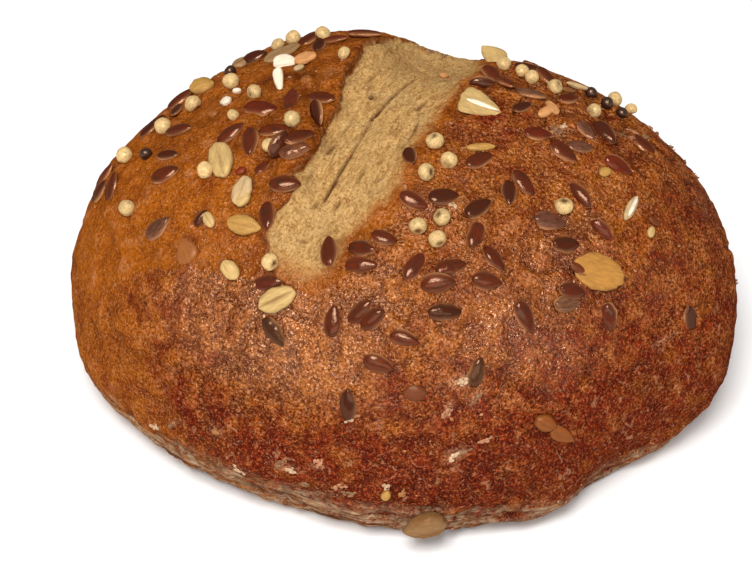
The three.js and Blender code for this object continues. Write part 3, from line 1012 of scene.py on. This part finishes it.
class Shader:
    """A material's nodes, added and linked by short calls."""

    def __init__(self, name):
        self.material = bpy.data.materials.new(name)
        self.material.use_nodes = True
        self.tree = self.material.node_tree
        self.surface = self.tree.nodes["Principled BSDF"]

    def node(self, kind, **settings):
        node = self.tree.nodes.new(kind)
        for name, value in settings.items():
            setattr(node, name, value)
        return node

    def link(self, output, socket):
        self.tree.links.new(output, socket)

    def feed(self, node, name, value):
        """Gives a node's input a fixed value or another node's output."""
        socket = node.inputs[name]
        if isinstance(value, bpy.types.NodeSocket):
            self.link(value, socket)
        else:
            socket.default_value = value

    def attribute(self, name, output="Fac"):
        return self.node("ShaderNodeAttribute", attribute_name=name).outputs[output]

    def place(self):
        return self.node("ShaderNodeTexCoord").outputs["Object"]

    def drawn_out(self, place, shares, turn=0.0):
        """Turned coordinates, for noise that is drawn out along the three axes by the given shares."""
        node = self.node("ShaderNodeMapping", vector_type="TEXTURE")
        self.feed(node, "Vector", place)
        self.feed(node, "Rotation", (0, 0, turn))
        self.feed(node, "Scale", shares)
        return node.outputs["Vector"]

    def noise(self, size, detail=2.0, roughness=0.5, distortion=0.0, place=None):
        """Noise from 0 to 1 with features of the given size in metres."""
        node = self.node("ShaderNodeTexNoise")
        self.feed(node, "Vector", place or self.place())
        self.feed(node, "Scale", 1 / size)
        self.feed(node, "Detail", detail)
        self.feed(node, "Roughness", roughness)
        self.feed(node, "Distortion", distortion)
        return node.outputs["Fac"]

    def spread(self, value, low, high, new_low=0.0, new_high=1.0):
        node = self.node("ShaderNodeMapRange")
        self.feed(node, "Value", value)
        self.feed(node, "From Min", low)
        self.feed(node, "From Max", high)
        self.feed(node, "To Min", new_low)
        self.feed(node, "To Max", new_high)
        return node.outputs["Result"]

    def math(self, operation, first, second=0.0, clamp=False):
        node = self.node("ShaderNodeMath", operation=operation, use_clamp=clamp)
        self.feed(node, 0, first)
        self.feed(node, 1, second)
        return node.outputs[0]

    def times(self, first, second, clamp=False):
        return self.math("MULTIPLY", first, second, clamp)

    def mix(self, share, first, second):
        node = self.node("ShaderNodeMix", data_type="RGBA")
        self.feed(node, 0, share)
        for index, value in ((6, first), (7, second)):
            self.feed(node, index, value if isinstance(value, bpy.types.NodeSocket) else (*value, 1.0))
        return node.outputs[2]

    def layered(self, colour, *layers):
        """A colour under others, each given with its share."""
        for share, layer in layers:
            colour = self.mix(share, colour, layer)
        return colour

    def bump(self, height, distance):
        node = self.node("ShaderNodeBump")
        self.feed(node, "Height", height)
        self.feed(node, "Distance", distance)
        self.feed(node, "Strength", 1.0)
        return node.outputs["Normal"]

    def add_gloss(self, share, tint, roughness, normal):
        """Tinted reflections that don't whiten towards the outline, over the rest of the material."""
        gloss = self.node("ShaderNodeBsdfGlossy")
        self.feed(gloss, "Color", tint)
        self.feed(gloss, "Roughness", roughness)
        self.feed(gloss, "Normal", normal)
        both = self.node("ShaderNodeMixShader")
        self.feed(both, 0, share)
        self.link(self.surface.outputs[0], both.inputs[1])
        self.link(gloss.outputs[0], both.inputs[2])
        self.link(both.outputs[0], self.tree.nodes["Material Output"].inputs["Surface"])

    def finish(self, **inputs):
        for name, value in inputs.items():
            self.feed(self.surface, name.replace("_", " "), value)
        return self.material


TAN_CRUST = linear(162, 85, 12)
RED_CRUST = linear(100, 21, 1)
# deep red-brown, for the dark grains and for painted shade
DEEP_CRUST = linear(60, 11, 4)
PALE_SPECK_AND_GLINT = linear(210, 146, 98)  # pale specks and painted glints and sheen, on the tan crust
RED_SPECK_AND_GLINT = linear(174, 82, 38)  # the same, on the red crust
PAINTED_GLINT = linear(232, 178, 126)  # the smallest painted glints
PALE_FLAKE = linear(196, 138, 100)
CRUMB_LIGHT = linear(210, 165, 103)
CRUMB_DARK = linear(142, 97, 47)
CRUMB_GREY = linear(184, 150, 98)
CRUMB_SPECK = linear(232, 190, 132)
FLOUR_LIGHT = linear(186, 160, 128)
FLOUR_DARK = linear(112, 76, 46)
CRUST_GLOSS = 0.095  # the share of reflections where glossy is 1
CRUST_BUMP = 0.34 * MM
SHEEN_TINT = (1.0, 0.57, 0.36, 1.0)  # of the crust's reflections


def crust_colour(shader, fine, worm, patch):
    """Tan to red crust with painted shade in its hollows and grooves, dark grains, pale grains, painted
    glints and sheen, and flecks of bran.
    """
    grainy = shader.attribute("grainy")
    raised = shader.attribute("raised")
    uneven = shader.spread(patch, 0.3, 0.7, -0.55, 0.55)
    browned_and_shaded = shader.math("ADD", shader.attribute("browned_and_shaded"), uneven, True)
    speck_and_glint = shader.mix(browned_and_shaded, PALE_SPECK_AND_GLINT, RED_SPECK_AND_GLINT)
    fleck = shader.spread(shader.noise(1.3 * MM, 2.0, 0.5, 1.0), 0.60, 0.70)
    return shader.layered(
        shader.mix(browned_and_shaded, TAN_CRUST, RED_CRUST),
        # painted shade in the relief's hollows
        (shader.times(shader.spread(raised, 0.0, -1.0, 0.0, 0.6), grainy), DEEP_CRUST),
        # painted sheen on the relief's ridges
        (shader.spread(raised, 0.1, 1.0, 0.0, 0.5), speck_and_glint),
        # painted shade in the fine grooves
        (shader.spread(worm, 0.06, 0.0, 0.0, 0.45), DEEP_CRUST),
        (shader.times(shader.spread(fine, 0.50, 0.37, 0.0, 0.95), grainy), DEEP_CRUST),
        # pale specks, partly painted glints
        (shader.times(shader.spread(fine, 0.53, 0.66, 0.0, 0.75), grainy), speck_and_glint),
        # painted glints, the smallest ones
        (shader.spread(shader.noise(0.30 * MM, 1.0, 0.5, 0.4), 0.62, 0.71, 0.0, 0.21), PAINTED_GLINT),
        (shader.times(fleck, shader.attribute("flaky")), PALE_FLAKE),
        (shader.times(shader.attribute("pale"), shader.spread(fine, 0.44, 0.56, 0.1, 0.8)), PALE_FLAKE))


def crumb_colour(shader, fine, strand):
    """The torn crumb: pale strands over darker ones, with greyer patches and specks."""
    patch = shader.noise(3.6 * MM, 3.0, 0.6)
    return shader.layered(
        shader.mix(shader.spread(strand, 0.32, 0.62), CRUMB_DARK, CRUMB_LIGHT),
        (shader.spread(patch, 0.35, 0.65, 0.0, 0.5), CRUMB_GREY),
        (shader.spread(fine, 0.47, 0.34, 0.0, 0.8), CRUMB_DARK),
        (shader.spread(fine, 0.54, 0.66, 0.0, 0.5), CRUMB_SPECK))


def flour_colour(shader):
    """Flour in thin level layers."""
    layer = shader.noise(0.60 * MM, 4.0, 0.65, 0.8, shader.drawn_out(shader.place(), (6, 6, 1)))
    return shader.mix(shader.spread(layer, 0.38, 0.62), FLOUR_DARK, FLOUR_LIGHT)


def crust_material():
    shader = Shader("crust")
    torn, floury = shader.attribute("torn"), shader.attribute("floury")
    fine = shader.noise(0.40 * MM, 3.0, 0.65, 0.6)
    pebble = shader.noise(0.55 * MM, 1.0, 0.5, 0.6)
    worm = shader.math("ABSOLUTE", shader.math("SUBTRACT", shader.noise(1.1 * MM, 1.0, 0.5, 0.6), 0.5))
    patch = shader.noise(3.2 * MM, 4.0, 0.6)
    along_tear = shader.drawn_out(shader.place(), (4.5, 1, 1), TEAR_BEARING)
    strand = shader.noise(0.50 * MM, 4.0, 0.72, 0.8, along_tear)
    dust = shader.spread(shader.noise(0.9 * MM, 3.0), 0.3, 0.6)
    colour = shader.layered(
        crust_colour(shader, fine, worm, patch),
        (torn, crumb_colour(shader, fine, strand)),
        (shader.times(floury, dust, True), flour_colour(shader)),
        # painted shade, with some scorching, from the dark attribute
        (shader.times(shader.attribute("dark"), 0.85), DEEP_CRUST))

    height = shader.node("ShaderNodeMix", data_type="FLOAT")
    shader.feed(height, 0, torn)
    shader.feed(height, 2, shader.math("SUBTRACT", pebble, shader.times(worm, 1.5)))
    shader.feed(height, 3, shader.math("ADD", shader.times(strand, 0.5), shader.times(fine, 0.7)))
    normal = shader.bump(height.outputs[0], CRUST_BUMP)
    dull = shader.times(shader.math("MAXIMUM", torn, floury), 0.4)
    roughness = shader.math("ADD", shader.spread(patch, 0.3, 0.7, 0.18, 0.30), dull, True)
    shader.add_gloss(shader.times(shader.attribute("glossy"), CRUST_GLOSS), SHEEN_TINT, roughness, normal)
    return shader.finish(Base_Color=colour, Roughness=0.8, Normal=normal, Specular_IOR_Level=0.0)


STREAK = (0.03, 0.012, 0.006)  # the darker streaks on every seed
COAT_TINT = (1.0, 0.62, 0.40, 1.0)  # of the seeds' reflections


def coat_material(name, edge_colour, edge_share, grain_size, relief, roughness,
                  fibres=1.0, gloss=0.05, streaks=0.45):
    """A seed's coat: each grain's own colour, a rim or eye of another colour, and fine uneven grain, which
    fibres draws out along the seed."""
    shader = Shader(name)
    own = shader.drawn_out(shader.attribute("own", "Vector"), (fibres, 1, 1))
    grain = shader.noise(grain_size, 3.0, 0.6, 0.0, own)
    patch = shader.noise(1.4 * MM, 1.0, 0.5, 0.0, own)
    worn = shader.spread(patch, 0.35, 0.6, 0.25 * edge_share, edge_share)
    colour = shader.layered(
        shader.attribute("coat", "Color"),
        (shader.spread(grain, 0.35, 0.7, 0.0, streaks), STREAK),
        (shader.times(shader.attribute("edge"), worn), edge_colour))
    normal = shader.bump(grain, relief)
    shader.add_gloss(gloss, COAT_TINT, roughness, normal)
    return shader.finish(Base_Color=colour, Roughness=0.7, Normal=normal, Specular_IOR_Level=0.0)


def flax_coat():
    # the pale rim is the seed's thin margin, partly painted light along its edge
    return coat_material(
        "flax_coat", linear(208, 144, 94), edge_share=0.8, grain_size=0.40 * MM, relief=0.04 * MM,
        roughness=0.15, fibres=3.0, gloss=0.040, streaks=0.8)


def millet_coat():
    return coat_material(
        "millet_coat", linear(84, 46, 24), edge_share=0.95, grain_size=0.4 * MM, relief=0.03 * MM,
        roughness=0.3)


def dark_coat():
    return coat_material(
        "dark_coat", linear(20, 12, 10), edge_share=0.9, grain_size=0.4 * MM, relief=0.05 * MM, roughness=0.3,
        gloss=0.08)


def flake_coat():
    return coat_material(
        "flake_coat", linear(112, 70, 32), edge_share=0.8, grain_size=0.35 * MM, relief=0.08 * MM,
        roughness=0.4, fibres=4.0, gloss=0.04, streaks=0.35)


def crumb_coat():
    return coat_material(
        "crumb_coat", linear(196, 150, 92), edge_share=0.0, grain_size=0.3 * MM, relief=0.06 * MM,
        roughness=0.55, gloss=0.03)


def plain_floor_material():
    shader = Shader("pale_floor")
    cloud = shader.noise(120 * MM, 2.0)
    colour = shader.mix(cloud, linear(249, 249, 248), linear(252, 252, 251))
    return shader.finish(Base_Color=colour, Roughness=0.9)


# ---- floor and lights

FLOOR_HALF = 2.5


def make_floor():
    mesh = bpy.data.meshes.new("floor")
    corners = [(x * FLOOR_HALF, y * FLOOR_HALF, 0) for x, y in ((-1, -1), (1, -1), (1, 1), (-1, 1))]
    mesh.from_pydata(corners, [], [(0, 1, 2, 3)])
    mesh.materials.append(plain_floor_material())
    floor = add_object("floor", mesh)


def make_light(name, azimuth, elevation, distance, width, height, power):
    """A soft light that faces the roll. Azimuth 0 is in front of it, and a positive one is to the right."""
    data = bpy.data.lights.new(name, "AREA")
    data.shape = "RECTANGLE"
    data.size, data.size_y = width, height
    data.energy = power
    around, rise = math.radians(azimuth), math.radians(elevation)
    away = Vector((math.sin(around) * math.cos(rise), -math.cos(around) * math.cos(rise), math.sin(rise)))
    turn = away.to_track_quat("Z", "Y").to_matrix()
    add_object(name, data).matrix_world = Matrix.Translation(away * distance) @ turn.to_4x4()


def make_world(strength):
    world = bpy.data.worlds.new("studio")
    world.use_nodes = True
    background = world.node_tree.nodes["Background"]
    background.inputs["Color"].default_value = (1.0, 0.99, 0.98, 1.0)
    background.inputs["Strength"].default_value = strength
    bpy.context.scene.world = world


# ---- the scene

make_camera()
crust, marked = build_crust()
tint_crust(crust.data, marked)
crust.data.materials.clear()
crust.data.materials.append(crust_material())
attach(crust, "root")
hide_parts("roll")

ground = Ground(crust.data)
rng = np.random.default_rng(4)
shown = [ground.under_pixel(seed.x, seed.y)[0] for seed in FLAX_SEEDS + MILLET_GRAINS + FLAKES]
hidden_millet = scatter_places(ground, rng, HIDDEN_MILLET, MILLET_STAND, shown)
hidden_flakes = scatter_places(ground, rng, HIDDEN_FLAKES, FLAKE_STAND, shown + hidden_millet)
hidden_flax = scatter_places(ground, rng, HIDDEN_FLAX, FLAX_STAND, shown + hidden_millet + hidden_flakes)
build_flax(ground, hidden_flax, flax_coat())
build_millet(ground, hidden_millet, millet_coat())
build_dark_seeds(ground, dark_coat())
build_flakes(ground, hidden_flakes, flake_coat())
build_crumbs(ground, crumb_coat())

make_floor()
make_light("key", azimuth=-14, elevation=63, distance=1.6, width=0.6, height=0.6, power=23.0)
make_light("front", azimuth=4, elevation=30, distance=2.0, width=2.2, height=0.8, power=10.5)
make_world(0.38)
bpy.context.scene.view_settings.view_transform = "Standard"
